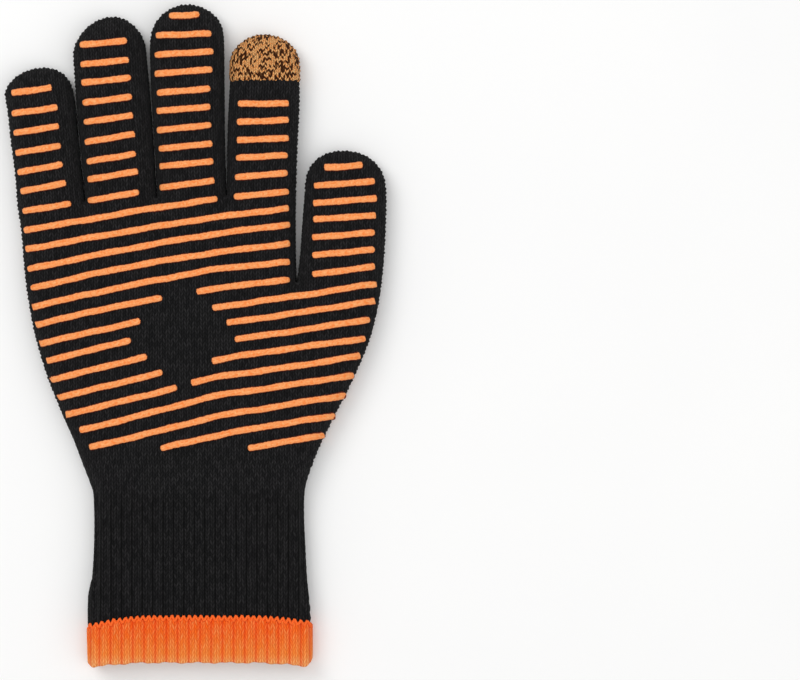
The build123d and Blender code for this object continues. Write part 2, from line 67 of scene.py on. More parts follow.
# ------------------------------------------------------------------ outlines measured on the photo, mm
OUT = {
    "pinky": {
        "left": [(-72.92, 45.42), (-73.33, 48.75), (-74.17, 52.08), (-74.58, 55.42), (-74.75, 58.75), (-75.0, 65.0), (-75.42, 68.75), (-76.17, 74.17), (-76.67, 77.5), (-77.08, 80.42), (-77.67, 85.42), (-77.92, 88.75), (-78.33, 93.33), (-78.92, 96.67), (-79.5, 99.17)],
        "tip": [(-80.08, 101.67), (-79.38, 103.54), (-77.5, 105.62), (-76.25, 107.29), (-74.58, 108.96), (-70.83, 110.92), (-67.08, 112.0), (-62.92, 112.38), (-59.17, 111.92), (-56.25, 110.58), (-53.96, 108.75), (-51.88, 105.83), (-50.92, 103.33)],
        "right": [(-50.33, 99.17), (-50.0, 94.17), (-49.17, 85.83), (-48.12, 75.42), (-47.08, 65.0), (-46.54, 58.75)],
        "crotch": (-46.17, 56.46),
    },
    "ring": {
        "left": [(-46.08, 58.75), (-46.67, 65.0), (-47.71, 75.42), (-48.75, 85.83), (-49.58, 94.17), (-50.0, 99.17), (-50.42, 105.0), (-50.58, 110.0), (-50.67, 114.17)],
        "tip": [(-51.42, 116.67), (-51.25, 119.58), (-50.21, 122.29), (-48.75, 125.0), (-46.25, 128.54), (-43.75, 130.5), (-40.42, 132.25), (-37.08, 133.33), (-34.17, 133.58), (-31.25, 133.17), (-28.75, 132.08), (-26.67, 130.62), (-24.38, 128.33), (-22.08, 125.62), (-20.75, 122.5), (-20.58, 119.17), (-20.42, 115.83)],
        "right": [(-20.0, 112.5), (-19.58, 108.33), (-19.0, 101.67), (-18.17, 90.0), (-17.17, 75.42), (-16.58, 65.0), (-16.42, 60.83)],
        "crotch": (-16.17, 58.12),
    },
    "middle": {
        "left": [(-15.92, 60.83), (-16.12, 65.0), (-16.75, 75.42), (-17.75, 90.0), (-18.58, 101.67), (-18.92, 108.33), (-18.83, 112.5)],
        "tip": [(-19.17, 116.67), (-19.17, 121.67), (-19.0, 125.83), (-18.12, 129.17), (-16.04, 132.17), (-13.75, 135.0), (-10.42, 137.25), (-6.25, 138.46), (-3.33, 138.75), (0.0, 138.46), (4.17, 137.0), (7.5, 135.0), (10.21, 132.08), (11.42, 129.17), (12.08, 125.83), (11.92, 121.67)],
        "right": [(12.08, 115.0), (12.17, 102.5), (12.17, 90.0), (12.29, 80.42), (12.58, 71.25), (12.75, 62.92)],
        "crotch": (12.96, 58.96),
    },
    "index": {
        "left": [(13.17, 62.92), (13.12, 71.25), (13.12, 78.75), (13.33, 88.75), (13.75, 95.42), (14.17, 102.5), (14.58, 108.33), (14.75, 112.5)],
        "tip": [(14.25, 115.0), (15.0, 117.92), (16.88, 120.21), (19.17, 122.29), (21.67, 124.17), (24.17, 125.29), (27.08, 125.75), (30.42, 125.67), (33.75, 125.13), (36.67, 123.92), (39.58, 122.0), (41.88, 119.17), (43.67, 116.25)],
        "right": [(43.08, 113.33), (43.08, 107.5), (43.67, 102.5), (43.5, 96.67), (43.17, 89.17), (42.58, 81.67), (42.33, 75.42), (42.17, 65.42), (41.79, 56.67), (41.83, 48.75), (41.92, 40.0), (41.92, 30.83), (41.92, 25.42)],
        "crotch": (42.33, 22.71),
    },
    "thumb": {
        "left": [(42.92, 26.25), (43.58, 32.08), (44.08, 38.75), (44.5, 45.42), (44.92, 52.5), (45.42, 57.5), (45.83, 62.5)],
        "tip": [(45.75, 65.83), (46.5, 68.75), (48.33, 71.88), (50.42, 74.04), (52.92, 75.71), (55.83, 76.88), (59.17, 77.42), (62.92, 77.54), (66.67, 77.08), (70.0, 76.12), (72.92, 74.58), (76.04, 72.08), (78.33, 68.75), (79.58, 65.0)],
        "right": [(79.83, 60.83), (79.75, 54.58), (79.58, 47.5), (79.17, 38.75), (78.88, 33.75), (78.5, 28.75), (78.08, 24.58), (77.5, 20.0), (76.83, 15.42)],
    },
    "palm": {
        "left": [(-44.38, -135.83), (-44.5, -126.67), (-44.92, -117.92), (-44.92, -111.25), (-44.58, -107.92), (-44.17, -104.58), (-43.33, -101.25), (-42.5, -94.58), (-42.08, -87.92), (-42.08, -74.58), (-42.25, -67.92), (-42.83, -64.58), (-43.92, -61.25), (-45.42, -57.92), (-46.67, -54.58), (-47.92, -51.25), (-49.17, -47.92), (-50.42, -44.58), (-51.67, -41.25), (-53.33, -37.92), (-55.0, -34.58), (-56.25, -31.25), (-57.5, -27.92), (-59.0, -24.58), (-60.42, -21.25), (-61.67, -17.92), (-62.75, -14.58), (-63.75, -11.25), (-64.75, -7.92), (-65.83, -4.58), (-66.67, -1.25), (-67.5, 2.08), (-68.17, 5.42), (-68.75, 8.75), (-69.33, 12.08), (-69.92, 15.42), (-70.42, 18.75), (-70.83, 22.08), (-71.25, 25.42), (-71.58, 28.75), (-72.0, 33.75), (-72.25, 38.75), (-72.58, 42.08)],
        "right": [(76.25, 12.08), (75.62, 8.75), (74.58, 5.42), (74.0, 2.08), (72.92, -1.25), (71.67, -4.58), (70.33, -7.92), (68.92, -11.25), (67.5, -14.58), (65.83, -17.92), (64.33, -21.25), (62.75, -24.58), (60.83, -27.92), (59.17, -31.25), (57.5, -34.58), (55.83, -37.92), (54.17, -41.25), (52.5, -44.58), (51.08, -47.92), (49.67, -51.25), (48.33, -54.58), (47.33, -57.92), (46.25, -61.25), (45.33, -64.58), (45.0, -67.92), (45.0, -74.58), (45.42, -81.67), (45.83, -87.92), (46.0, -94.58), (46.25, -101.25), (46.92, -104.58), (47.75, -107.92), (48.08, -111.25), (48.08, -117.92), (48.08, -126.67), (48.08, -135.83)],
    },
}

FINGER_BARS = {
    "pinky": [(-76.2, 101.0, -59.2, 103.2), (-76.2, 92.5, -56.7, 95.0), (-75.4, 84.3, -56.2, 87.3), (-74.6, 76.1, -55.4, 79.1), (-73.8, 68.0, -54.6, 71.4), (-72.5, 60.0, -53.3, 63.7), (-71.7, 51.9, -51.2, 55.0)],
    "ring": [(-47.9, 121.0, -27.9, 122.7), (-47.5, 112.8, -27.1, 114.8), (-47.1, 105.2, -26.2, 107.4), (-46.7, 96.9, -25.8, 99.5), (-46.2, 88.9, -25.4, 91.7), (-45.8, 80.5, -24.6, 84.0), (-45.0, 72.4, -24.2, 75.8), (-44.6, 65.0, -23.3, 68.5), (-44.6, 56.2, -22.9, 59.8)],
    "middle": [(-10.8, 133.0, 2.1, 133.6), (-16.2, 125.0, 7.1, 125.7), (-16.7, 116.9, 7.9, 118.3), (-16.7, 109.0, 7.5, 110.8), (-15.8, 101.0, 6.7, 102.9), (-15.8, 93.5, 6.7, 95.4), (-15.8, 85.5, 7.1, 87.8), (-15.0, 77.9, 7.5, 80.0), (-14.6, 70.5, 7.9, 72.7), (-14.6, 61.7, 8.3, 64.6)],
    "index": [(17.9, 96.5, 39.2, 96.7), (17.5, 89.0, 39.2, 89.8), (17.5, 81.4, 39.2, 82.3), (17.1, 74.0, 38.8, 75.2), (16.7, 66.0, 38.8, 67.8), (16.2, 57.8, 39.2, 60.1)],
    "thumb": [(53.8, 69.9, 70.0, 71.0), (49.6, 62.4, 75.0, 64.4), (49.2, 55.2, 75.8, 57.3), (49.2, 48.5, 75.4, 50.2), (48.8, 41.0, 75.0, 43.1), (48.8, 33.5, 75.0, 36.1), (48.8, 25.6, 75.0, 29.0)],
}
PALM_BARS = [
    [(-71.2, 43.9), (-66.4, 44.7), (-46.9, 47.8), (-30.6, 50.8), (-14.4, 53.4), (5.1, 56.3), (9.6, 57.0)],
    [(-70.4, 36.0), (-63.8, 37.1), (-37.5, 41.8), (-15.4, 45.5), (6.7, 49.0), (32.9, 52.3), (39.2, 53.1)],
    [(-69.6, 27.6), (-63.0, 29.0), (-36.7, 34.4), (-14.8, 38.5), (7.1, 42.1), (33.3, 45.6), (39.6, 46.4)],
    [(-68.3, 19.8), (-61.8, 21.2), (-35.8, 27.0), (-14.2, 31.0), (7.5, 34.4), (33.3, 37.7), (39.6, 38.5)],
    [(-66.7, 12.2), (-64.6, 12.7), (-33.3, 19.6), (-7.1, 24.8), (12.1, 28.1), (39.6, 30.7)],
    [(-64.6, 5.0), (-62.9, 5.3), (-36.7, 11.4), (-21.7, 14.2), (-2.1, 17.9), (21.7, 21.4), (39.6, 23.4)],
    [(-62.9, -2.8), (-61.2, -2.5), (-34.2, 3.5), (-20.0, 6.8), (-4.6, 9.8), (11.2, 12.1), (26.7, 14.4), (49.6, 17.6), (72.5, 21.3), (75.0, 21.7)],
    [(-60.0, -10.0), (-58.3, -9.6), (-31.7, -3.1), (-17.5, 0.4), (14.2, 5.5), (26.2, 7.2), (48.8, 10.5), (71.7, 14.1), (74.2, 14.5)],
    [(-58.3, -18.0), (-56.5, -17.5), (-29.0, -10.8), (-10.8, -6.4), (10.4, -2.5), (28.3, 0.2), (46.2, 2.7), (67.9, 6.2), (72.9, 7.0)],
    [(-55.4, -25.3), (-53.5, -24.9), (-26.0, -18.3), (-4.2, -12.9), (18.8, -8.3), (43.3, -4.8), (67.9, -1.4), (70.8, -1.0)],
    [(-52.1, -32.5), (-50.4, -32.0), (-22.9, -25.4), (-13.3, -23.0), (7.5, -17.4), (25.0, -14.9), (42.9, -12.4), (63.8, -9.0), (68.8, -8.1)],
    [(-47.9, -39.4), (-41.0, -37.7), (-13.5, -30.7), (9.4, -24.8), (32.3, -21.5), (59.8, -17.2), (66.2, -16.3)],
    [(-43.8, -46.4), (-37.5, -44.9), (-11.7, -38.7), (9.8, -33.3), (31.2, -29.8), (56.9, -25.5), (62.9, -24.4)],
    [(-14.2, -46.9), (-9.8, -45.8), (7.7, -41.7), (22.3, -38.9), (36.9, -36.4), (54.4, -33.8), (58.3, -33.1)],
    [(22.1, -46.7), (24.0, -46.3), (38.1, -44.0), (52.2, -41.4), (53.8, -41.1)],
]
BLANK = (-5.0, 0.5, 23.0)   # centre and half diagonal of the plain diamond left free of bars on the palm
PALM_BOTTOM = -152.0
ORDER = ("pinky", "ring", "middle", "index")
CUTS = {"pinky": (65.8, 82.0), "ring": (74.6, 98.2), "middle": (79.1, 102.3), "index": (77.0, 93.8)}
ZONES = {"pinky": ((57.2, 65.8), (65.8, 81.8), (82.0, 98.0)), "ring": ((58.6, 74.0), (74.8, 97.8), (98.6, 121.8)),
         "middle": ((59.5, 76.5), (79.3, 101.9), (102.5, 125.5)), "index": ((59.5, 74.0), (77.7, 93.7), (93.9, 109.5))}
SLOPE = {"pinky": -0.110, "ring": -0.074, "middle": -0.0276, "index": 0.0315}
CAP_Y = 106.25
LOW_Y = 44.0            # finger meshes start here, below the crotches
WRIST_TOP, WRIST_END = -53.0, -78.0
HEM_Y, END_Y = -117.8, -138.3
ZM, HZ, RIM = 6.6, 6.0, 8.2


def catmull(p, k):
    """A smooth curve through the points p, k steps for each length."""
    p = np.array(p, float)
    q = np.vstack([2 * p[0] - p[1], p, 2 * p[-1] - p[-2]])
    out = []
    for i in range(1, len(q) - 2):
        a, b, c, d = q[i - 1], q[i], q[i + 1], q[i + 2]
        for t in np.arange(k) / k:
            out.append(0.5 * (2 * b + (c - a) * t + (2 * a - 5 * b + 4 * c - d) * t * t + (3 * b - a - 3 * c + d) * t ** 3))
    out.append(q[-2])
    return np.array(out)


def smooth_chain(pts, keep=()):
    p = np.array(pts, float)
    for _ in range(2):
        m = p.copy()
        m[1:-1] = 0.25 * p[:-2] + 0.5 * p[1:-1] + 0.25 * p[2:]
        p[1:-1] = m[1:-1]
    return catmull(p, 4)


C1, C2, C3, C4 = (OUT[f]["crotch"] for f in ORDER)
low_l = [(-44.4, y) for y in (PALM_BOTTOM, -146.0, -140.0, -134.0)] + OUT["palm"]["left"][1:]
low_r = OUT["palm"]["right"][:-1] + [(48.1, y) for y in (-134.0, -140.0, -146.0, PALM_BOTTOM)]
CH = {
    "pinky": low_l + OUT["pinky"]["left"] + OUT["pinky"]["tip"] + OUT["pinky"]["right"] + [C1],
    "ring": [C1] + OUT["ring"]["left"] + OUT["ring"]["tip"] + OUT["ring"]["right"] + [C2],
    "middle": [C2] + OUT["middle"]["left"] + OUT["middle"]["tip"] + OUT["middle"]["right"] + [C3],
    "index": [C3] + OUT["index"]["left"] + OUT["index"]["tip"] + OUT["index"]["right"] + [C4],
    "thumb": [C4] + OUT["thumb"]["left"] + OUT["thumb"]["tip"] + OUT["thumb"]["right"] + low_r,
}
CH = {k: smooth_chain(v) for k, v in CH.items()}
SIDE, APEX = {}, {}
for k, c in CH.items():
    i = int(np.argmax(c[:, 1]))
    for j in range(1, i + 1):          # heights rise all the way to the tip
        c[j, 1] = max(c[j, 1], c[j - 1, 1] + 1e-4)
    for j in range(len(c) - 2, i, -1):
        c[j, 1] = max(c[j, 1], c[j + 1, 1] + 1e-4)
    c[i, 1] = max(c[i, 1], c[i - 1, 1] + 1e-3, c[i + 1, 1] + 1e-3)
    SIDE[k] = (c[: i + 1], c[i:][::-1])
    APEX[k] = c[i].copy()
RING = np.vstack([CH[k][:-1] for k in ("pinky", "ring", "middle", "index", "thumb")] + [CH["thumb"][-1:]])
SA, SB = RING[:-1], RING[1:]
SD = SB - SA
SL2 = np.maximum((SD ** 2).sum(1), 1e-12)
SCUM = np.concatenate([[0], np.cumsum(np.sqrt(SL2))])[:-1]
SN = np.stack([-SD[:, 1], SD[:, 0]], 1) / np.sqrt(SL2)[:, None]     # outward, the ring runs clockwise


def xl(k, y):
    return np.interp(y, SIDE[k][0][:, 1], SIDE[k][0][:, 0])


def xr(k, y):
    return np.interp(y, SIDE[k][1][:, 1], SIDE[k][1][:, 0])


def near(P):
    """Distance to the outline and the outward direction there, for points P (n, 2)."""
    P = np.asarray(P, float)
    D, N, LL = np.empty(len(P)), np.empty((len(P), 2)), np.empty(len(P))
    order = np.argsort(P[:, 1], kind="stable")
    for s in range(0, len(P), 1500):
        idx = order[s:s + 1500]
        p = P[idx]
        lo, hi = p[:, 1].min() - 40, p[:, 1].max() + 40
        sel = np.nonzero((np.minimum(SA[:, 1], SB[:, 1]) < hi) & (np.maximum(SA[:, 1], SB[:, 1]) > lo))[0]
        a, d, l2 = SA[sel], SD[sel], SL2[sel]
        t = np.clip(((p[:, None, 0] - a[None, :, 0]) * d[None, :, 0] + (p[:, None, 1] - a[None, :, 1]) * d[None, :, 1]) / l2[None], 0, 1)
        qx = a[None, :, 0] + t * d[None, :, 0] - p[:, None, 0]
        qy = a[None, :, 1] + t * d[None, :, 1] - p[:, None, 1]
        dd = qx * qx + qy * qy
        j = dd.argmin(1)
        r = np.arange(len(p))
        dist = np.sqrt(dd[r, j])
        D[idx] = dist
        LL[idx] = SCUM[sel][j] + t[r, j] * np.sqrt(l2[j])
        n = np.stack([qx[r, j], qy[r, j]], 1)
        far = dist > 1e-4
        n[far] /= dist[far, None]
        n[~far] = SN[sel][j[~far]]
        N[idx] = n
    return D, N, LL


_c = np.linspace(0, 1, 400)
_arc = np.concatenate([[0], np.cumsum(np.hypot(np.diff(1 - np.cos(_c * math.pi / 2)) * RIM, np.diff(np.sin(_c * math.pi / 2)) * HZ))])
_dpl = (1 - np.cos(_c * math.pi / 2)) * RIM


def rim_arc(d):
    """How much longer the way over the rounded edge is than its plan."""
    full = _arc[-1] - RIM
    return np.where(d < RIM, full - (np.interp(d, _dpl, _arc) - d), 0.0)


W_ = [(0.11, 0.05, 0.3, 0.20), (-0.06, 0.12, 1.1, 0.18), (0.17, 0.09, 2.2, 0.10), (0.03, -0.16, 0.4, 0.13), (0.21, -0.12, 3.0, 0.07)]


def wrinkle(x, y):
    w = np.zeros_like(x)
    for a, b, c, s in W_:
        w += s * np.sin(a * x + b * y + c + 0.8 * np.sin(0.045 * x - 0.03 * y + c))
    # shallow creases: one across the palm and one round the root of the thumb
    w -= 0.35 * np.exp(-((y + 0.10 * x - 38.0) / 5.0) ** 2) * np.exp(-((x + 5) / 38.0) ** 2)
    w -= 0.30 * np.exp(-(((x - 38.0) + 0.55 * (y - 4.0)) / 6.0) ** 2) * np.exp(-((y - 2) / 30.0) ** 2)
    return w


def surface(P, top, inset=0.0, extra=0.0):
    """Point and normal of the glove's flat-lying skin above or below the plan points P, and its knit coordinates."""
    d, n, along = near(P)
    s = 1.0 if top else -1.0
    t = np.clip(d / RIM, 0, 1)
    sn = np.sqrt(np.clip(1 - (1 - t) ** 2, 0, 1))
    cs = 1 - t
    z = (HZ if top else 5.72) * sn
    q = np.clip(d / 13.0, 0, 1)
    x, y = P[:, 0], P[:, 1]
    if top:
        e = np.clip((d - 15) / 22, 0, 1)
        fade = np.clip((y + 118) / 60, 0, 1)
        z = z + 0.75 * q * (2 - q) + (0.55 * e * e * (3 - 2 * e) + wrinkle(x, y) * q * q * 0.75) * (0.25 + 0.75 * fade)
    nv = np.stack([n[:, 0] * cs / RIM, n[:, 1] * cs / RIM, s * sn / HZ], 1)
    nv[t >= 1, :2] = 0
    nv /= np.maximum(np.linalg.norm(nv, axis=1), 1e-9)[:, None]
    V = np.stack([x, y, ZM + s * z], 1) + nv * (extra - inset)
    c = rim_arc(d)
    K = np.stack([x + c * n[:, 0], y + c * n[:, 1], d, along], 1)
    return V, nv, K


def shear_knit(K, P, slope):
    """Knit columns follow each finger's own direction."""
    if slope:
        K = K.copy()
        K[:, 0] -= slope * np.maximum(P[:, 1] - 50.0, 0)
    return K


# ------------------------------------------------------------------ meshes
def new_mesh(name, V, F, attrs=None, mat=None, smooth=True):
    """One object from vertices in mm. Coincident vertices are joined."""
    V = np.asarray(V, float)
    key = np.round(V, 3) + 0.0
    u, first, inv = np.unique(key, axis=0, return_index=True, return_inverse=True)
    inv = np.asarray(inv).reshape(-1)
    faces = []
    for f in F:
        g = []
        for i in f:
            k = int(inv[i])
            if k not in g:
                g.append(k)
        if len(g) > 2:
            faces.append(g)
    me = bpy.data.meshes.new(name)
    me.from_pydata((V[first] / 1000.0).tolist(), [], faces)
    for an, arr in (attrs or {}).items():
        arr = np.asarray(arr, np.float32)[first]
        if arr.ndim == 2:
            arr = np.ascontiguousarray(arr[:, :3])
        if arr.ndim == 1:
            a = me.attributes.new(an, "FLOAT", "POINT")
            a.data.foreach_set("value", arr)
        else:
            a = me.attributes.new(an, "FLOAT_VECTOR", "POINT")
            a.data.foreach_set("vector", arr.reshape(-1))
    if smooth:
        me.polygons.foreach_set("use_smooth", [True] * len(me.polygons))
    me.validate()
    me.update()
    o = bpy.data.objects.new(name, me)
    bpy.context.scene.collection.objects.link(o)
    if mat:
        me.materials.append(mat)
    return o


def grid_faces(r, c, base=0, flip=False, skip=None):
    F = []
    for i in range(r - 1):
        for j in range(c - 1):
            a = base + i * c + j
            q = [a, a + 1, a + c + 1, a + c]
            F.append(q[::-1] if flip else q)
    return F


def hash2(x, y):
    h = np.sin(np.round(x, 2) * 12.9898 + np.round(y, 2) * 78.233) * 43758.5453
    return h - np.floor(h) - 0.5


def stitches(K, P):
    """Stitch bumps that show along the outline, and a little unevenness everywhere."""
    w = np.clip(1.0 - K[:, 2] / 3.5, 0, 1)
    b = 0.24 * np.sin(2 * math.pi * K[:, 3] / 1.79) + 0.10 * np.sin(2 * math.pi * K[:, 3] / 4.3 + 1.0)
    # neighbouring fingers lie close, so their sides are smoother there
    x, y = P[:, 0], P[:, 1]
    lim = np.where(x < -46, 100.0, np.where(x < -17.5, 121.0, np.where(x < 13, 126.0, 113.0)))
    f = np.where((x > -56) & (x < 20), 0.28 + 0.72 * np.clip((y - lim) / 4, 0, 1), 1.0)
    f = np.where((x > 39) & (x < 47) & (y < 60), 0.35, f)
    b, w = b, w * f
    return (b * w + 0.05 * hash2(P[:, 0], P[:, 1]) + 0.12 * hash2(P[:, 0] + 3.0, P[:, 1]) * w) * np.where(P[:, 1] > -60, 1.0, 0.6)


def two_sided(PX, PY, slope=0.0, inset=0.0, extra=0.0, rib=None, turn=False):
    """Top and bottom of a patch given by its plan grid. Returns V, F, K."""
    r, c = PX.shape
    P = np.stack([PX.ravel(), PY.ravel()], 1)
    Vs, Ks, F = [], [], []
    for top in (True, False):
        V, n, K = surface(P, top, inset, extra)
        K = shear_knit(K, P, slope)
        if inset == 0.0:
            V = V + n * stitches(K, P)[:, None]
        if rib is not None:
            V = V + n * rib(K, P)[:, None]
        Vs.append(V)
        Ks.append(K)
        F += grid_faces(r, c, 0 if top else r * c, flip=turn ^ (not top))
    return np.vstack(Vs), F, np.vstack(Ks)


def cosw(n):
    return 0.5 - 0.5 * np.cos(np.linspace(0, math.pi, n + 1))


NF = 54
STEP = 0.583
FINE = []     # filled below

# plan grids ------------------------------------------------
common = sorted(set(np.round(np.arange(LOW_Y, 60.01, STEP * 0.8), 3)) | {round(float(c[1]), 4) for c in (C1, C2, C3)} | {60.0})
common = [y for i, y in enumerate(common) if i == 0 or y - common[i - 1] > 0.12 or any(abs(y - c[1]) < 1e-3 for c in (C1, C2, C3))]


def finger_rows(f, marks):
    top = float(APEX[f][1])
    ys = list(common) if f != "thumb" else []
    y0 = 60.0 if f != "thumb" else marks[0]
    y1 = top - 13.0
    ys += list(np.arange(y0 + STEP, y1, STEP))
    k = max(12, int(26 / STEP))
    ys += [top - 13.0 * (1 - s) ** 2 for s in np.linspace(0, 1, k + 1)]
    ys = sorted(set(np.round(ys, 4)) | {round(m, 4) for m in marks})
    ys[-1] = top
    out = [ys[0]]
    for y in ys[1:]:
        if y - out[-1] > 0.02 or y == top:
            out.append(y)
    return np.array(out)


T = cosw(NF)
GRIDS = {}
for f in ORDER:
    ys = finger_rows(f, list(CUTS[f]) + ([CAP_Y] if f == "index" else []))
    l, r = xl(f, ys), xr(f, ys)
    l[-1] = r[-1] = APEX[f][0]
    GRIDS[f] = (l[:, None] + (r - l)[:, None] * T[None], np.repeat(ys[:, None], NF + 1, 1))

# thumb: its first row lies on the slanted line through the crotch
FA = math.radians(35.0)
CD, CM = np.array([math.cos(FA), -math.sin(FA)]), np.array([math.sin(FA), math.cos(FA)])
C4 = np.array(CH["index"][-1])
lo_t, hi_t = 20.0, 60.0
for _ in range(50):
    mid = 0.5 * (lo_t + hi_t)
    p = C4 + mid * CD
    if p[0] < xr("thumb", p[1]):
        lo_t = mid
    else:
        hi_t = mid
MEND = C4 + lo_t * CD
MEND[0] = xr("thumb", MEND[1])
TH_CUT = 35.5
rows = []
n0 = int(26 / STEP)
for s in np.linspace(0, 1, n0 + 1):
    yl_, yr_ = C4[1] + (TH_CUT - C4[1]) * s, MEND[1] + (TH_CUT - MEND[1]) * s
    if s == 0:
        a, b = C4, MEND
    else:
        a, b = np.array([xl("thumb", yl_), yl_]), np.array([xr("thumb", yr_), yr_])
    rows.append(a[None] + (b - a)[None] * T[:, None])
n_thumb_a = len(rows)
for y in finger_rows("thumb", [TH_CUT]):
    if y > TH_CUT + 0.1:
        a, b = xl("thumb", y), xr("thumb", y)
        if y >= APEX["thumb"][1] - 1e-6:
            a = b = APEX["thumb"][0]
        rows.append(np.stack([a + (b - a) * T, np.full(NF + 1, y)], 1))
rows = np.array(rows)
GRIDS["thumb"] = (rows[:, :, 0], rows[:, :, 1])

# palm: columns match the fingers' first rows, rows match the thumb's first row
colx = np.concatenate([GRIDS[f][0][0][(0 if i == 0 else 1):] for i, f in enumerate(ORDER)])
tp = (colx - colx[0]) / (colx[-1] - colx[0])
thumb_first = np.stack([GRIDS["thumb"][0][0], GRIDS["thumb"][1][0]], 1)[::-1]     # from the outline up to the crotch
ys = list(np.arange(WRIST_TOP, MEND[1] - 0.3, STEP)) + list(thumb_first[:, 1]) + list(np.arange(C4[1] + 0.4, LOW_Y - 0.3, STEP)) + [LOW_Y]
ys = np.array(ys)
right = []
for y in ys:
    if y < MEND[1] - 1e-9:
        right.append(xr("thumb", y))
    elif y <= C4[1] + 1e-9:
        right.append(np.interp(y, thumb_first[:, 1], thumb_first[:, 0]))
    else:
        right.append(xr("index", y))
left = xl("pinky", ys)
right = np.array(right)
PALM_X = left[:, None] + (right - left)[:, None] * tp[None]
PALM_Y = np.repeat(ys[:, None], len(tp), 1)

# cuff: rows from the wrist down, columns become even
tu = np.linspace(0, 1, len(tp))
tu = tu - 0.55 * np.sin(2 * math.pi * tu) / (2 * math.pi)


def cuff_grid(y0, y1, step):
    n = max(2, int(round(abs(y1 - y0) / step)))
    ys = np.linspace(y0, y1, n + 1)
    a, b = xl("pinky", ys), xr("thumb", ys)
    w = np.clip((WRIST_TOP - ys) / 20.0, 0, 1)
    w = w * w * (3 - 2 * w)
    t = tp[None] * (1 - w[:, None]) + tu[None] * w[:, None]
    GX = a[:, None] + (b - a)[:, None] * t
    GY = arch(GX, np.repeat(ys[:, None], len(tp), 1))
    return across(t, GY), GY


def across(t, y):
    """x at the share t of the way over the cuff at height y, so that rims stay on the outline."""
    a, b = xl("pinky", y), xr("thumb", y)
    return a + (b - a) * t


def arch(x, y):
    """The cuff's end curves down at its two sides."""
    a, b = xl("pinky", y), xr("thumb", y)
    s = np.clip((x - a) / (b - a), 0, 1)
    l, r = np.clip(1 - s / 0.30, 0, 1) ** 2, np.clip((s - 0.72) / 0.28, 0, 1) ** 2
    up = -4.2 * l - 2.7 * r
    dn = 2.6 - 2.2 * l - 1.9 * r
    t = np.clip((HEM_Y - y) / (HEM_Y - END_Y), 0, 1)
    w = np.clip((-96.0 - y) / (-96.0 - HEM_Y), 0, 1)
    return y + (up * (1 - t) + dn * t) * w * w * (3 - 2 * w)


RIB = 4.33


def rib_black(K, P):
    y = P[:, 1]
    w = np.clip((-58.0 - y) / 14.0, 0, 1)
    w = w * w * (3 - 2 * w)
    ph = K[:, 0] / RIB + 0.03 * np.sin(y * 0.09 + K[:, 0] * 0.05)
    c = np.cos(2 * math.pi * ph)
    return w * (0.42 * (np.sign(c) * np.abs(c) ** 0.7) - 0.1)


RIBH = 4.65


def rib_hem(K, P):
    c = np.cos(2 * math.pi * K[:, 0] / RIBH)
    end = np.clip((P[:, 1] - END_Y - 2.0) / 4.0, 0, 1)
    return (0.30 * np.sign(c) * np.abs(c) ** 0.8) * (0.45 + 0.55 * end) + 0.05 * np.sin(K[:, 0] * 2.7) * (1 - end)


# ------------------------------------------------------------------ materials
def lin(r, g, b):
    def c(v):
        v /= 255.0
        return v / 12.92 if v <= 0.04045 else ((v + 0.055) / 1.055) ** 2.4
    return (c(r), c(g), c(b), 1.0)


class X:
    """A number inside a material, worked out by Math nodes."""

    def __init__(self, nt, k):
        self.nt, self.k = nt, k

    def op(self, kind, *o):
        n = self.nt.nodes.new("ShaderNodeMath")
        n.operation = kind
        for i, v in enumerate((self,) + o):
            if isinstance(v, X):
                self.nt.links.new(v.k, n.inputs[i])
            else:
                n.inputs[i].default_value = v
        return X(self.nt, n.outputs[0])

    def __add__(self, o): return self.op("ADD", o)
    def __sub__(self, o): return self.op("SUBTRACT", o)
    def __mul__(self, o): return self.op("MULTIPLY", o)
    def __truediv__(self, o): return self.op("DIVIDE", o)
    def fract(self): return self.op("FRACT")
    def floor(self): return self.op("FLOOR")
    def abs(self): return self.op("ABSOLUTE")
    def sin(self): return self.op("SINE")
    def sqrt(self): return self.op("SQRT")
    def pw(self, e): return self.op("POWER", e)
    def lo(self, o): return self.op("MINIMUM", o)
    def hi(self, o): return self.op("MAXIMUM", o)
    def inv(self): return self.op("MULTIPLY_ADD", -1.0, 1.0)

    def ramp(self, a, b):
        n = self.nt.nodes.new("ShaderNodeMapRange")
        n.interpolation_type = "SMOOTHSTEP"
        self.nt.links.new(self.k, n.inputs[0])
        n.inputs[1].default_value, n.inputs[2].default_value = a, b
        return X(self.nt, n.outputs[0])


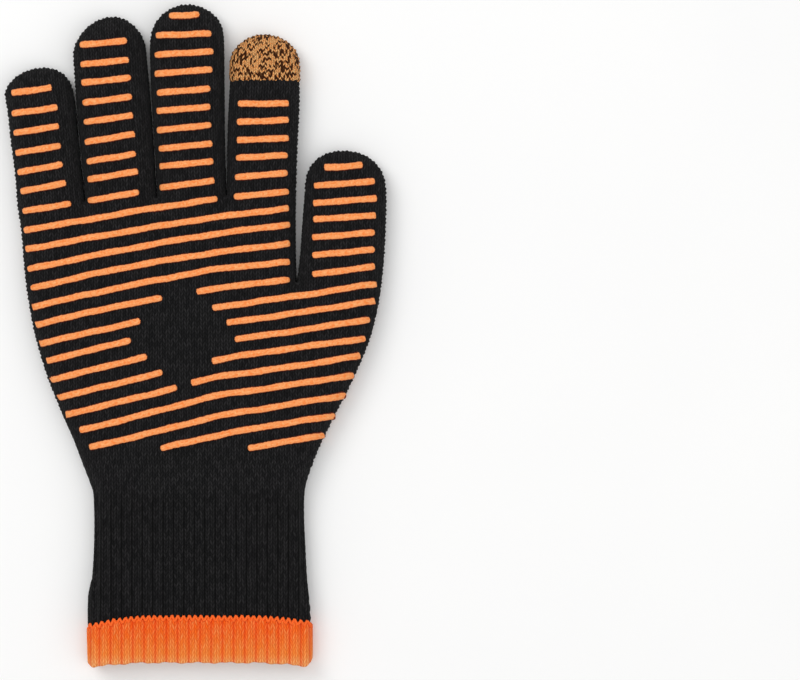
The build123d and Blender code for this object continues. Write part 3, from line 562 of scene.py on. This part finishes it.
class Mat:
    def __init__(self, name, attr="knit"):
        self.m = bpy.data.materials.new(name)
        self.m.use_nodes = True
        self.nt = self.m.node_tree
        self.nt.nodes.clear()
        self.out = self.nt.nodes.new("ShaderNodeOutputMaterial")
        self.b = self.nt.nodes.new("ShaderNodeBsdfPrincipled")
        self.nt.links.new(self.b.outputs[0], self.out.inputs[0])
        a = self.nt.nodes.new("ShaderNodeAttribute")
        a.attribute_name = attr
        s = self.nt.nodes.new("ShaderNodeSeparateXYZ")
        self.nt.links.new(a.outputs["Vector"], s.inputs[0])
        self.vec = a.outputs["Vector"]
        self.u, self.v, self.w = (X(self.nt, s.outputs[i]) for i in range(3))

    def noise(self, scale, detail=2.0, rough=0.5, vec=None, stretch=None, out=0):
        n = self.nt.nodes.new("ShaderNodeTexNoise")
        n.inputs["Scale"].default_value = scale
        n.inputs["Detail"].default_value = detail
        n.inputs["Roughness"].default_value = rough
        v = vec or self.vec
        if stretch:
            m = self.nt.nodes.new("ShaderNodeMapping")
            m.inputs["Scale"].default_value = stretch
            self.nt.links.new(v, m.inputs["Vector"])
            v = m.outputs[0]
        self.nt.links.new(v, n.inputs["Vector"])
        return X(self.nt, n.outputs[out])

    def cell(self, a, b):
        """A random number for each whole pair a, b."""
        c = self.nt.nodes.new("ShaderNodeCombineXYZ")
        self.nt.links.new(a.k, c.inputs[0])
        self.nt.links.new(b.k, c.inputs[1])
        w = self.nt.nodes.new("ShaderNodeTexWhiteNoise")
        w.noise_dimensions = "3D"
        self.nt.links.new(c.outputs[0], w.inputs["Vector"])
        return X(self.nt, w.outputs["Value"])

    def mix(self, f, a, b):
        n = self.nt.nodes.new("ShaderNodeMix")
        n.data_type = "RGBA"
        for v, i in ((f, 0), (a, 6), (b, 7)):
            if isinstance(v, X):
                self.nt.links.new(v.k, n.inputs[i])
            elif isinstance(v, (int, float, tuple)):
                n.inputs[i].default_value = v
            else:
                self.nt.links.new(v, n.inputs[i])
        return n.outputs[2]

    def bump(self, h, mm, strength=1.0):
        n = self.nt.nodes.new("ShaderNodeBump")
        n.inputs["Strength"].default_value = strength
        n.inputs["Distance"].default_value = mm / 1000.0
        self.nt.links.new(h.k, n.inputs["Height"])
        self.nt.links.new(n.outputs[0], self.b.inputs["Normal"])

    def set(self, **k):
        for a, v in k.items():
            s = self.b.inputs[a.replace("_", " ")]
            if isinstance(v, X):
                self.nt.links.new(v.k, s)
            elif isinstance(v, (int, float, tuple)):
                s.default_value = v
            else:
                self.nt.links.new(v, s)
        return self.m

    def knit(self, wale, course, slant=0.9, jitter=0.0):
        """Height 0..1 of knitted V stitches, and the number of each leg."""
        u = self.u
        v = self.v
        if jitter:
            u = u + (self.noise(0.16, 1.0) - 0.5) * jitter
            v = v + (self.noise(0.13, 1.0, vec=self.vec, stretch=(1.3, 1.0, 1.0)) - 0.5) * jitter
        f = (u / wale).fract() * 2.0 - 1.0
        a = f.abs()
        leg = (u / (wale / 2)).floor()
        vv = v / course - a * slant
        row = vv.floor()
        g = vv.fract() * 2.0 - 1.0
        round_ = (g * g).inv().hi(0.0).sqrt()
        side = (a * math.pi).sin().hi(0.0).pw(0.6)
        return round_ * side, leg, row, a


def make_black(name, rib=False):
    m = Mat(name)
    h, leg, row, a = m.knit(2.2 if not rib else RIB / 2, 1.75, 0.95, 0.8)
    tone = m.noise(0.06, 3.0, 0.6)
    fuzz = m.noise(5.0, 3.0, 0.7)
    rnd = m.cell(leg, row)
    # painted shade and light: a shaded dark yarn colour in the stitch hollows and a lit colour on the stitch tops,
    # mixed by stitch height
    dark = m.mix(tone, lin(7, 7, 7), lin(11, 11, 11))
    light = m.mix(rnd, lin(27, 27, 28), lin(48, 47, 48))
    lit = (h * 0.85 + fuzz * 0.3 - 0.12).hi(0.0).lo(1.0)
    col = m.mix(lit, dark, light)
    # lint and worn fibres
    lint = m.noise(1.7, 4.0, 0.75).ramp(0.66, 0.80)
    col = m.mix(lint * 0.30, col, lin(74, 72, 72))
    if rib:
        # painted shade: the rib grooves are painted darker
        g = (m.u / RIB + 0.5).fract()
        groove_shade = (g - 0.5).abs().ramp(0.16, 0.02)
        w = (m.v * -1.0 - 60.0).ramp(0.0, 12.0)
        col = m.mix(groove_shade * w * 0.75, col, lin(6, 6, 6))
    m.bump(h + fuzz * 0.25, 0.42 if not rib else 0.36)
    return m.set(Base_Color=col, Roughness=fuzz * 0.16 + 0.78, Specular_IOR_Level=0.05, Sheen_Weight=0.02, Sheen_Roughness=0.5)


def make_hem(name):
    m = Mat(name)
    h, leg, row, a = m.knit(RIBH / 2, 2.05, 1.15, 0.45)
    rnd = m.cell(leg, row)
    fuzz = m.noise(4.0, 3.0, 0.7)
    down = (m.v * -1.0 - 118.5) / 18.5                   # 0 at the top edge, 1 at the end
    warm = m.mix(down.ramp(0.05, 0.95), lin(255, 106, 28), lin(255, 146, 60))
    warm = m.mix(down.ramp(0.72, 1.0), warm, lin(255, 190, 124))
    pale = m.mix(rnd * 0.55, warm, lin(255, 166, 96))
    # painted shade and light: a darker orange in the stitch hollows and the paler colour on the lit stitch tops, mixed
    # by stitch height
    shaded_orange = m.mix(down.ramp(0.0, 1.0), lin(252, 84, 14), lin(252, 124, 48))
    lit = (h * 0.95 + fuzz * 0.25 - 0.08).hi(0.0).lo(1.0)
    col = m.mix(lit, shaded_orange, pale)
    g = (m.u / RIBH).fract()
    groove_shade = (g - 0.5).abs().ramp(0.26, 0.02)
    # painted shade: the rib grooves are painted a deeper, darker orange
    col = m.mix(groove_shade * 0.5, col, lin(240, 60, 8))
    # painted shade: small dark gaps where stitches meet in the grooves
    hole_shade = (a - 0.02).abs().ramp(0.20, 0.02) * ((m.v / 2.05).fract() - 0.5).abs().ramp(0.30, 0.08)
    col = m.mix(hole_shade * groove_shade.ramp(0.1, 0.8) * 0.6, col, lin(130, 34, 12))
    m.bump(h + fuzz * 0.2, 0.42)
    return m.set(Base_Color=col, Roughness=fuzz * 0.15 + 0.66, Specular_IOR_Level=0.10)


def make_cap(name):
    m = Mat(name)
    h, leg, row, a = m.knit(1.7, 1.0, 0.9, 1.5)
    r1 = m.cell(leg, row)
    streak = m.noise(2.1, 3.0, 0.7, stretch=(1.2, 1.2, 1.0))
    r2 = (r1 * 1.0 + streak * 0.25 - 0.10).ramp(0.38, 0.54)
    fuzz = m.noise(5.0, 3.0, 0.7)
    tan = m.mix(m.noise(1.6, 3.0, 0.7).ramp(0.3, 0.7), lin(252, 146, 66), lin(255, 208, 142))
    brown = m.mix(fuzz, lin(30, 16, 4), lin(86, 42, 12))
    col = m.mix(r2, brown, tan)
    # painted shade: the low parts of each stitch are painted darker brown
    col = m.mix((h * 0.9 + 0.05).hi(0.0).lo(1.0).inv() * 0.6, col, lin(52, 24, 5))
    m.bump(h + fuzz * 0.25, 0.45)
    return m.set(Base_Color=col, Roughness=fuzz * 0.2 + 0.62, Specular_IOR_Level=0.10)


def make_bar(name):
    """Printed silicone: u runs along the bar, v across it from -1 to 1."""
    m = Mat(name, "bar")
    x = m.v.abs()
    mott = m.noise(0.95, 3.0, 0.7, stretch=(0.7, 1.5, 1.0)).ramp(0.34, 0.66)
    big = m.noise(0.12, 2.0, 0.5, stretch=(1.0, 0.3, 1.0))
    core = m.mix(mott, lin(242, 128, 52), lin(252, 182, 118))
    edge = m.mix(mott, lin(252, 178, 116), lin(240, 142, 78))
    col = m.mix((x + (mott - 0.5) * 0.5).ramp(0.30, 0.75), core, edge)
    col = m.mix(big.ramp(0.35, 0.75) * 0.30, col, lin(238, 128, 58))
    # thin dark red rim, where the print thins out on the black yarn
    col = m.mix((x + (mott - 0.5) * 0.10).ramp(0.73, 0.85), col, lin(96, 26, 12))
    # knit showing through, small dark pin holes
    stitch = ((m.u / 1.1).fract() - 0.5).abs().ramp(0.5, 0.1)
    col = m.mix(stitch * 0.10, col, lin(222, 112, 46))
    pin = m.noise(2.6, 1.0, 0.5).ramp(0.72, 0.78)
    col = m.mix(pin * 0.45, col, lin(150, 80, 44))
    m.bump(stitch * -0.25 + mott * 0.6, 0.16)
    return m.set(Base_Color=col, Roughness=mott * 0.2 + 0.5, Specular_IOR_Level=0.22)


def make_cotton(name):
    m = Mat(name)
    h, leg, row, a = m.knit(1.5, 1.2, 0.9, 0.4)
    fuzz = m.noise(3.0, 3.0, 0.7)
    light = m.mix(m.cell(leg, row), lin(226, 219, 204), lin(240, 234, 221))
    # painted shade: a darker beige in the stitch hollows and the lit yarn colour on the stitch tops, mixed by stitch
    # height
    col = m.mix((h * 0.8 + fuzz * 0.3).lo(1.0), lin(168, 158, 140), light)
    m.bump(h, 0.25)
    return m.set(Base_Color=col, Roughness=fuzz * 0.1 + 0.85, Specular_IOR_Level=0.15)


def make_thread(name, c0, c1):
    """Twisted thread: u along the thread, v round it."""
    m = Mat(name, "bar")
    tw = (m.u / 0.55 + m.v * 0.8).fract()
    f = (tw - 0.5).abs().ramp(0.05, 0.45)
    fz = m.noise(3.0, 2.0)
    # painted shade: the darker colour c0 lies in the grooves between the twisted plies and the lighter c1 on their
    # crests
    col = m.mix((f * 0.7 + fz * 0.3), c0, c1)
    m.bump(f, 0.08)
    return m.set(Base_Color=col, Roughness=fz * 0.2 + 0.6, Specular_IOR_Level=0.25)


M_KNIT, M_RIB, M_HEM = make_black("knit_black"), make_black("rib_black", True), make_hem("hem_orange")
M_CAP, M_BAR, M_COT = make_cap("touch_yarn"), make_bar("grip_silicone"), make_cotton("liner_cotton")
M_ZIG = make_thread("overlock_thread", lin(248, 84, 16), lin(255, 120, 44))
M_ELA = make_thread("elastic_thread", lin(26, 24, 26), lin(64, 60, 62))


# ------------------------------------------------------------------ pieces
def put(o, nodes, body=None, bl=None):
    nodes = [n for n in nodes if n in NODES]
    if nodes:
        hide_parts(*nodes)
    if bl:
        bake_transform(o)
    else:
        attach(o, body)
    return o


def yblend(a, b, y0, y1, x=0.0):
    return (a, b, (x, y0, ZM), (x, y1, ZM))


TM = CM
THUMB_A = ("palm", "thumb_base", (C4[0], C4[1], ZM), (C4[0] + 10 * TM[0], C4[1] + 10 * TM[1], ZM))
THUMB_B = yblend("thumb_base", "thumb_tip", TH_CUT + 0.2, 55.7, 60.0)
SHELL_IN = 1.75


def shell_pair(name, PX, PY, slope, shell_nodes, liner_nodes, body=None, bl=None, mat=None, rib=None, turn=False, extra=0.0):
    V, F, K = two_sided(PX, PY, slope, 0.0, extra, rib, turn)
    o = new_mesh(name, V, F, {"knit": K}, mat or M_KNIT)
    put(o, shell_nodes, body, bl)
    if liner_nodes is not None:
        V, F, K = two_sided(PX[:, ::2] if PX.shape[1] % 2 else PX, PY[:, ::2] if PX.shape[1] % 2 else PY, slope, SHELL_IN, 0.0, None, turn)
        l = new_mesh(name.replace("_knit", "") + "_cotton", V, F, {"knit": K}, M_COT)
        put(l, liner_nodes, body, bl)
    return o


shell_pair("palm_knit", PALM_X, PALM_Y, 0.0, ["palm_shell"], ["palm_liner"], body="palm")
for f in ORDER:
    GX, GY = GRIDS[f]
    c1, c2 = CUTS[f]
    y = GY[:, 0]
    i1, i2 = int(np.argmin(abs(y - c1))), int(np.argmin(abs(y - c2)))
    n = len(y) - 1
    z = ZONES[f]
    parts = (("base", 0, i1, "palm", f + "_base", z[0]), ("middle", i1, i2, f + "_base", f + "_middle", z[1]))
    for p, a, b, ba, bb, zz in parts:
        shell_pair("%s_%s_knit" % (f, p), GX[a:b + 1], GY[a:b + 1], SLOPE[f], ["%s_%s_shell" % (f, p)], ["%s_%s_liner" % (f, p)], bl=yblend(ba, bb, *zz))
    bl = yblend(f + "_middle", f + "_tip", *z[2])
    if f == "index":
        ic = int(np.argmin(abs(y - CAP_Y)))
        shell_pair("index_tip_knit", GX[i2:ic + 2], GY[i2:ic + 2], SLOPE[f], ["index_tip_shell"], None, bl=bl)
        V, F, K = two_sided(GX[i2:, ::2], GY[i2:, ::2], SLOPE[f], SHELL_IN)
        put(new_mesh("index_tip_cotton", V, F, {"knit": K}, M_COT), ["index_tip_liner"], bl=bl)

        def cap_rib(K, P):
            e = np.clip((P[:, 1] - CAP_Y) / 1.4, 0, 1)
            return 0.42 * np.sqrt(e) - 0.06 + 0.10 * np.sin(K[:, 0] * 2 * math.pi / 2.3) * e * 0.7
        XX, YY = GX[ic:].copy(), GY[ic:].copy()
        YY[0] += 0.35 * np.sin(XX[0] * 2 * math.pi / 2.3) + 0.2 * np.sin(XX[0] * 1.1)
        YY[1] = np.maximum(YY[1], YY[0] + 0.05)
        YY[2] = np.maximum(YY[2], YY[1] + 0.05)
        shell_pair("index_touch_yarn", XX, YY, SLOPE[f], ["index_touch_cap"], None, bl=bl, mat=M_CAP, rib=cap_rib)
    else:
        shell_pair("%s_tip_knit" % f, GX[i2:], GY[i2:], SLOPE[f], ["%s_tip_shell" % f], ["%s_tip_liner" % f], bl=bl)
TX, TY = GRIDS["thumb"]
shell_pair("thumb_base_knit", TX[:n_thumb_a], TY[:n_thumb_a], 0.05, ["thumb_base_shell"], ["thumb_base_liner"], bl=THUMB_A)
shell_pair("thumb_tip_knit", TX[n_thumb_a - 1:], TY[n_thumb_a - 1:], 0.05, ["thumb_tip_shell"], ["thumb_tip_liner"], bl=THUMB_B)

WRIST = yblend("palm", "cuff", WRIST_TOP, WRIST_END)
CX, CY = cuff_grid(WRIST_TOP, HEM_Y - 0.8, 1.1)
shell_pair("cuff_rib_knit", CX, CY, 0.0, ["cuff_rib"], None, bl=WRIST, mat=M_RIB, rib=rib_black, turn=True)
# the liner is sewn in a little short of the hem's end
LX, LY = cuff_grid(WRIST_TOP, END_Y + 3.0, 2.0)
V, F, K = two_sided(LX[:, ::2], LY[:, ::2], 0.0, SHELL_IN + 0.15, 0.0, None, True)
put(new_mesh("cuff_cotton", V, F, {"knit": K}, M_COT), ["cuff_liner"], bl=WRIST)


# hem: outside, rounded lip and inside
def hem():
    HX, HY = cuff_grid(HEM_Y + 0.9, END_Y + 0.7, 0.9)
    r, c = HX.shape
    wave = 0.35 * np.sin(HX[0] * 0.5 + 1.0) + 0.22 * np.sin(HX[0] * 1.35)
    t = np.linspace(0, 1, r)[:, None] * np.ones((1, c))
    HY = HY + wave[None] * t ** 3 * 0.7
    corner = 2.4
    out_x = np.minimum(HX - HX[:, :1], HX[:, -1:] - HX)
    lift = np.where(out_x < corner, corner - np.sqrt(np.maximum(corner ** 2 - (corner - out_x) ** 2, 0)), 0)
    HY = HY + lift * t ** 4
    ht = np.broadcast_to(tu, HX.shape)
    HX = across(ht, HY)
    stages = [(HX[i], HY[i], 0.6) for i in range(r)]
    for k in range(1, 7):
        a = math.pi * k / 6
        yy = HY[-1] - 0.8 * math.sin(a)
        stages.append((across(tu, yy), yy, 0.6 - 1.0 * (1 - math.cos(a))))
    for i in range(r - 1, 0, -2):
        stages.append((HX[i], HY[i], -1.4))
    n = len(stages)
    SX = np.array([s[0] for s in stages])
    SY = np.array([s[1] for s in stages])
    EX = np.array([s[2] for s in stages])
    P = np.stack([SX.ravel(), SY.ravel()], 1)
    ex = np.repeat(EX, c)
    Vs, Ks, F = [], [], []
    for top in (True, False):
        V, nrm, K = surface(P, top)
        first = np.repeat(np.clip(np.arange(n) / 1.0, 0, 1), c)       # the top edge tucks in
        amt = np.where(ex > 0, rib_hem(K, P), 0.0) + ex - (1 - first) * 0.75
        V = V + nrm * amt[:, None]
        Vs.append(V)
        Ks.append(K)
        F += grid_faces(n, c, 0 if top else n * c, flip=(not top) ^ True)
    o = new_mesh("hem_knit", np.vstack(Vs), F, {"knit": np.vstack(Ks)}, M_HEM)
    return put(o, ["cuff_hem"], body="cuff")


hem()


def tube(path, rad, k=8, closed=False):
    """A thread along a path of points in mm."""
    p = np.array(path, float)
    n = len(p)
    tg = (np.roll(p, -1, 0) - np.roll(p, 1, 0)) if closed else np.gradient(p, axis=0)
    tg /= np.maximum(np.linalg.norm(tg, axis=1), 1e-9)[:, None]
    up = np.tile(np.array([0.0, 1.0, 0.02]), (n, 1)) if closed else np.tile(np.array([0.0, 0.0, 1.0]), (n, 1))
    s = np.cross(tg, up)
    s /= np.maximum(np.linalg.norm(s, axis=1), 1e-6)[:, None]
    q = np.cross(s, tg)
    L = np.concatenate([[0], np.cumsum(np.linalg.norm(np.diff(p, axis=0), axis=1))])
    V, A, F = [], [], []
    for j in range(k):
        a = 2 * math.pi * j / k
        V.append(p + rad * (math.cos(a) * s + math.sin(a) * q))
        A.append(np.stack([L, np.full(n, j / k), np.zeros(n)], 1))
    V = np.stack(V, 1).reshape(-1, 3)
    A = np.stack(A, 1).reshape(-1, 3)
    m = n if closed else n - 1
    for i in range(m):
        for j in range(k):
            a, b = i * k + j, i * k + (j + 1) % k
            c, d = ((i + 1) % n) * k + (j + 1) % k, ((i + 1) % n) * k + j
            F.append([a, b, c, d])
    if not closed:
        F.append(list(range(k))[::-1])
        F.append(list(range((n - 1) * k, n * k)))
    return V, A, F


def join(parts):
    V, A, F, b = [], [], [], 0
    for v, a, f in parts:
        V.append(v)
        A.append(a)
        F += [[i + b for i in g] for g in f]
        b += len(v)
    return np.vstack(V), np.vstack(A), F


def ring_path(y, off, n=160, ywave=None):
    a, b = xl("pinky", np.array([y]))[0], xr("thumb", np.array([y]))[0]
    t = cosw(n)
    x = a + (b - a) * t
    yy = np.full(n + 1, y) if ywave is None else ywave(x)
    P = np.stack([x, yy], 1)
    U, nu, _ = surface(P, True)
    D, nd, _ = surface(P[::-1][1:-1], False)
    return np.vstack([U + nu * off, D + nd * off])


# elastic threads lie between the rib knit and the liner
threads = [tube(ring_path(y, -0.95), 0.28, 6, True) for y in (-70.0, -78.0, -86.0, -94.0, -102.0, -110.0)]
V, A, F = join(threads)
put(new_mesh("cuff_elastic", V, F, {"bar": A}, M_ELA), ["cuff_elastic_threads"], body="cuff")


# the zigzag where the orange hem meets the black rib: one row of bights in the hem's own yarn, each a little uneven
def zigzag():
    parts = []
    pitch = 2.42
    a, b = xl("pinky", np.array([HEM_Y]))[0], xr("thumb", np.array([HEM_Y]))[0]
    for top in (True, False):
        for leg in range(int((b - a) / (pitch / 2)) + 1):
            xa = a + 0.4 + leg * pitch / 2
            xb = xa + pitch / 2
            if xb > b - 0.3:
                break
            up = leg % 2 == 0
            hh = 0.95 + 0.4 * rng.random()
            
            t = np.linspace(0, 1, 7)
            x = xa + (xb - xa) * t
            y = arch(x, np.full(7, HEM_Y)) + 0.45 + (hh * (2 * t - 1) if up else hh * (1 - 2 * t))
            P = np.stack([x, y], 1)
            S, n, K = surface(P, top)
            S = S + n * ((0.42 if top else 0.05) + rib_black(K, P) * 0.4 + 0.25 * np.sin(math.pi * t))[:, None]
            parts.append(tube(S, 0.50 + 0.10 * rng.random(), 7))
    V, A, F = join(parts)
    put(new_mesh("hem_zigzag", V, F, {"bar": A}, M_ZIG), ["hem_overlock_thread"], body="cuff")


zigzag()


# ------------------------------------------------------------------ grip bars
def strip(pts, top, seed, hw=1.55, h=0.66):
    p = np.array(pts, float)
    seg = np.linalg.norm(np.diff(p, axis=0), axis=1)
    L = np.concatenate([[0], np.cumsum(seg)])
    step = 0.55
    n = max(8, int(L[-1] / step))
    e = np.array([0, 0.10, 0.28, 0.55, 0.95]) if L[-1] > 3 else np.array([0, 0.1, 0.3])
    s = np.unique(np.concatenate([e, np.linspace(e[-1] + 0.3, L[-1] - e[-1] - 0.3, n), L[-1] - e]))
    # a smooth path: cubic through the measured points
    if len(p) > 2:
        fine = catmull(p, 12)
        LF = np.concatenate([[0], np.cumsum(np.linalg.norm(np.diff(fine, axis=0), axis=1))])
        s = s * LF[-1] / L[-1]
        x, y = np.interp(s, LF, fine[:, 0]), np.interp(s, LF, fine[:, 1])
        tot = LF[-1]
    else:
        x, y = np.interp(s, L, p[:, 0]), np.interp(s, L, p[:, 1])
        tot = L[-1]
    r = np.random.default_rng(seed)
    ph = r.random(6) * 6.28
    tx, ty = np.gradient(x, s), np.gradient(y, s)
    l = np.hypot(tx, ty)
    nx, ny = -ty / l, tx / l
    dev = min(1.0, tot / 70.0) * (0.13 * np.sin(s * 0.21 + ph[4]) + 0.04 * np.sin(s * 0.6 + ph[5]))
    x, y = x + nx * dev, y + ny * dev
    endd = np.minimum(s, tot - s)
    e1, e2 = r.uniform(0.8, 2.3, 2)       # each end is printed a little differently
    endw = ((1 - np.clip(1 - s / e1, 0, 1) ** 2.6) * (1 - np.clip(1 - (tot - s) / e2, 0, 1) ** 2.6)) ** (1 / 2.2)
    wob = lambda k: 0.05 * np.sin(s * 1.9 + ph[k]) + 0.04 * np.sin(s * 4.3 + ph[k + 1]) + 0.09 * np.sin(s * 0.45 + ph[k + 2])
    up_w, dn_w = (hw + wob(0)) * endw + 0.02, (hw + wob(3)) * endw + 0.02
    tt = np.array([-1.0, -0.97, -0.88, -0.68, -0.25, 0.25, 0.68, 0.88, 0.97, 1.0])
    hh = np.array([-0.35, 0.40, 0.76, 0.95, 1.0, 1.0, 0.95, 0.76, 0.40, -0.35])
    V = []
    A = []
    for t, q in zip(tt, hh):
        w = np.where(t > 0, up_w, dn_w) * t
        P = np.stack([x + nx * w, y + ny * w], 1)
        S, nrm, K = surface(P, top)
        hgt = h * (q if q > 0 else 1.0 * q) * np.clip(endw * 1.15, 0, 1) + 0.03 * np.sin(s * 2.85 + t) * (q > 0)
        V.append(S + nrm * hgt[:, None])
        A.append(np.stack([s + seed * 3.7, np.full(len(s), t * 1.0), np.zeros(len(s))], 1))
    m = len(s)
    V = np.stack(V, 1).reshape(-1, 3)
    A = np.stack(A, 1).reshape(-1, 3)
    A[:, 1] = np.where(np.repeat(endd, len(tt)) < 0.35, np.sign(A[:, 1] + 1e-9) * np.maximum(abs(A[:, 1]), 0.95 - np.repeat(endd, len(tt)) * 0.4), A[:, 1])
    F = grid_faces(m, len(tt), flip=top)
    k = len(tt)
    caps = [list(range(k)), list(range((m - 1) * k, m * k))[::-1]]
    F += caps if not top else [c[::-1] for c in caps]
    return V, A, F


def outside_blank(p):
    """The bar's parts that lie outside the plain diamond on the palm."""
    cx, cy, hd = BLANK
    fine = catmull(p, 24)
    inside = abs(fine[:, 0] - cx) + abs(fine[:, 1] - cy) < hd
    out, cur = [], []
    for q, i in zip(fine, inside):
        if i:
            if len(cur) > 12:
                out.append(cur)
            cur = []
        else:
            cur.append(q)
    if len(cur) > 12:
        out.append(cur)
    res = []
    for c in out:
        c = np.array(c)
        k = max(2, int(np.linalg.norm(c[-1] - c[0]) / 9))
        res.append(c[np.unique(np.linspace(0, len(c) - 1, k + 1).astype(int))])
    return res


seed = 1
groups = {}
for f, bars in FINGER_BARS.items():
    for xa, ya, xb, yb in bars:
        yc = (ya + yb) / 2
        if f == "thumb":
            g = "thumb_base" if yc < TH_CUT + 4.0 else "thumb_tip"
        else:
            g = f + "_" + ("base" if yc < CUTS[f][0] else "middle" if yc < CUTS[f][1] else "tip")
        for top in (True, False):
            seed += 1
            mid = [(xa + xb) / 2, yc - 0.15]
            groups.setdefault(g, []).append(strip([(xa, ya), mid, (xb, yb)], top, seed))
for p in PALM_BARS:
    far = max(q[0] for q in p) > 44 and max(q[1] for q in p) > -5
    g = "thumb_palm" if far else "palm"
    for top in (True, False):
        for q in (outside_blank(p) if top else [p]):
            seed += 1
            groups.setdefault(g, []).append(strip(q, top, seed))
for g, parts in groups.items():
    V, A, F = join(parts)
    o = new_mesh(g + "_bars", V, F, {"bar": A}, M_BAR)
    nodes = [g + "_grip_bars"]
    if g == "palm":
        put(o, ["palm_grip_bars"], body="palm")
    elif g == "thumb_palm":
        put(o, [], bl=THUMB_A)
    elif g == "thumb_base":
        put(o, nodes, bl=THUMB_A)
    elif g == "thumb_tip":
        put(o, nodes, bl=THUMB_B)
    else:
        f, p = g.split("_")
        k = ("base", "middle", "tip").index(p)
        a = "palm" if k == 0 else "%s_%s" % (f, ("base", "middle")[k - 1])
        put(o, nodes, bl=yblend(a, g, *ZONES[f][k]))

# ------------------------------------------------------------------ floor, light, camera
fm = Mat("floor_paper", "knit")
tc = fm.nt.nodes.new("ShaderNodeTexCoord")
fn = fm.noise(6.0, 3.0, 0.5, vec=tc.outputs["Object"])
fm.set(Base_Color=fm.mix(fn, lin(243, 243, 243), lin(248, 248, 247)), Roughness=fn * 0.1 + 0.8, Specular_IOR_Level=0.1)
bpy.ops.mesh.primitive_plane_add(size=6.0, location=(0, 0, -0.0002))
floor = bpy.context.object
floor.name = "floor"
floor.data.materials.append(fm.m)

world = bpy.data.worlds.new("studio")
bpy.context.scene.world = world
world.use_nodes = True
world.node_tree.nodes["Background"].inputs[0].default_value = (1, 1, 1, 1)
world.node_tree.nodes["Background"].inputs[1].default_value = 0.52


def area(name, loc, size, power, target=(0, 0, 0)):
    l = bpy.data.lights.new(name, "AREA")
    l.shape, l.size, l.energy = "SQUARE", size, power
    o = bpy.data.objects.new(name, l)
    o.location = loc
    o.rotation_euler = (Vector(target) - Vector(loc)).to_track_quat("-Z", "Y").to_euler()
    bpy.context.scene.collection.objects.link(o)


area("key", (-0.75, 0.75, 1.25), 0.9, 9.0)
area("fill", (1.1, -0.4, 1.3), 1.4, 6.0)
area("top", (0.0, 0.0, 1.7), 1.1, 6.6)

bpy.context.scene.view_settings.view_transform = "Standard"
cam_d = bpy.data.cameras.new("camera")
cam_d.sensor_width = 36.0
cam_d.clip_start, cam_d.clip_end = 0.05, 20.0
H_CAM = 1.25
cam_d.lens = 36.0 * (H_CAM - 0.010) / 0.3333
cam = bpy.data.objects.new("camera", cam_d)
cam.location = (0.0854, -0.0017, H_CAM)
bpy.context.scene.collection.objects.link(cam)
bpy.context.scene.camera = cam

for im in bpy.context.scene.objects:
    if im.type == "MESH":
        im.data.update()
bpy.context.view_layer.update()
